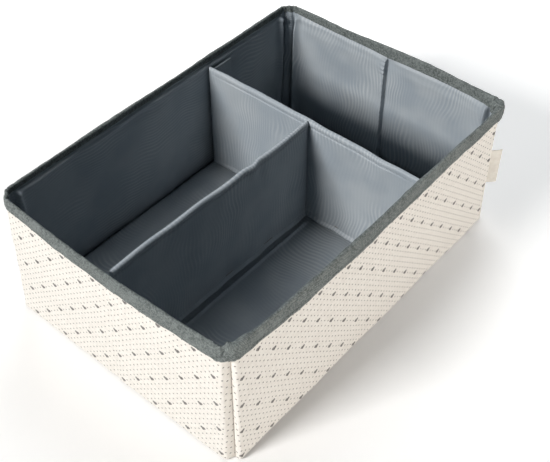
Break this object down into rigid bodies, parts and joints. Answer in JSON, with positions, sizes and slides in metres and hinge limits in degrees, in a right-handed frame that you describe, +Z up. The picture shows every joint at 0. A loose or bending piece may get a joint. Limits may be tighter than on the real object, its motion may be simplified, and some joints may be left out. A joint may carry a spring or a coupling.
{
  "type": "diaper caddy",
  "caption": "Open-top fabric nursery caddy with board-stiffened walls, bound rim, drop-in floor panel and a lift-out T-shaped divider insert held by hook-and-loop tabs.",
  "frame": {"origin": "middle of the underside, on the surface that the caddy stands on", "axes": "+X along the long walls, +Y along the short walls, +Z up"},
  "size_m": [0.3522, 0.2496, 0.132],
  "materials": {
    "printed_canvas": "cream cotton canvas with a fine dark grey print",
    "lining_cloth": "blue-grey woven polyester lining with a slight sheen",
    "binding_tape": "grey-green woven binding tape",
    "stiffener_board": "grey paperboard, wood fibre",
    "hook_and_loop_tape": "dark grey hook-and-loop tape",
    "label_tape": "cream woven label tape, blank"
  },
  "bodies": {
    "shell": {"outer_front_panel": "printed_canvas", "outer_rear_panel": "printed_canvas", "outer_left_panel": "printed_canvas", "outer_right_panel": "printed_canvas", "outer_base_cloth": "printed_canvas", "front_wall_board": "stiffener_board", "rear_wall_board": "stiffener_board", "left_wall_board_front": "stiffener_board", "left_wall_board_rear": "stiffener_board", "right_wall_board_front": "stiffener_board", "right_wall_board_rear": "stiffener_board", "lining_front_panel": "lining_cloth", "lining_rear_panel": "lining_cloth", "lining_left_panel": "lining_cloth", "lining_right_panel": "lining_cloth", "lining_rear_right_gusset": "lining_cloth", "lining_rear_left_gusset": "lining_cloth", "lining_front_left_gusset": "lining_cloth", "lining_front_right_gusset": "lining_cloth", "lining_base_cloth": "lining_cloth", "rim_binding": "binding_tape", "front_loop_tape": "hook_and_loop_tape", "rear_loop_tape": "hook_and_loop_tape", "left_loop_tape": "hook_and_loop_tape", "side_label": "label_tape"},
    "floor_panel": {"floor_cover": "lining_cloth", "floor_board": "stiffener_board"},
    "cross_divider": {"cross_divider_cover": "lining_cloth", "cross_divider_board": "stiffener_board"},
    "long_divider": {"long_divider_cover": "lining_cloth", "long_divider_board": "stiffener_board"},
    "front_tab": {"cross_divider_front_tab": "lining_cloth", "front_hook_tape": "hook_and_loop_tape"},
    "rear_tab": {"cross_divider_rear_tab": "lining_cloth", "rear_hook_tape": "hook_and_loop_tape"},
    "left_tab": {"long_divider_tab": "lining_cloth", "left_hook_tape": "hook_and_loop_tape"}
  },
  "joints": [
    {"name": "floor_lift", "type": "slide", "parent": "shell", "child": "floor_panel", "axis": [0, 0, 1], "range_m": [0, 0.16]},
    {"name": "insert_lift", "type": "slide", "parent": "floor_panel", "child": "cross_divider", "axis": [0, 0, 1], "range_m": [0, 0.15]},
    {"name": "divider_swing", "type": "hinge", "parent": "cross_divider", "child": "long_divider", "pos_m": [0.0539, 0, 0.0653], "axis": [0, 0, -1], "range_deg": [0, 23]},
    {"name": "front_tab_peel", "type": "hinge", "parent": "cross_divider", "child": "front_tab", "pos_m": [0.0602, -0.1127, 0.0653], "axis": [0, 0, 1], "range_deg": [0, 85]},
    {"name": "rear_tab_peel", "type": "hinge", "parent": "cross_divider", "child": "rear_tab", "pos_m": [0.0602, 0.1127, 0.0653], "axis": [0, 0, -1], "range_deg": [0, 85]},
    {"name": "left_tab_peel", "type": "hinge", "parent": "long_divider", "child": "left_tab", "pos_m": [-0.1677, 0.0022, 0.0653], "axis": [0, 0, -1], "range_deg": [0, 85]}
  ]
}
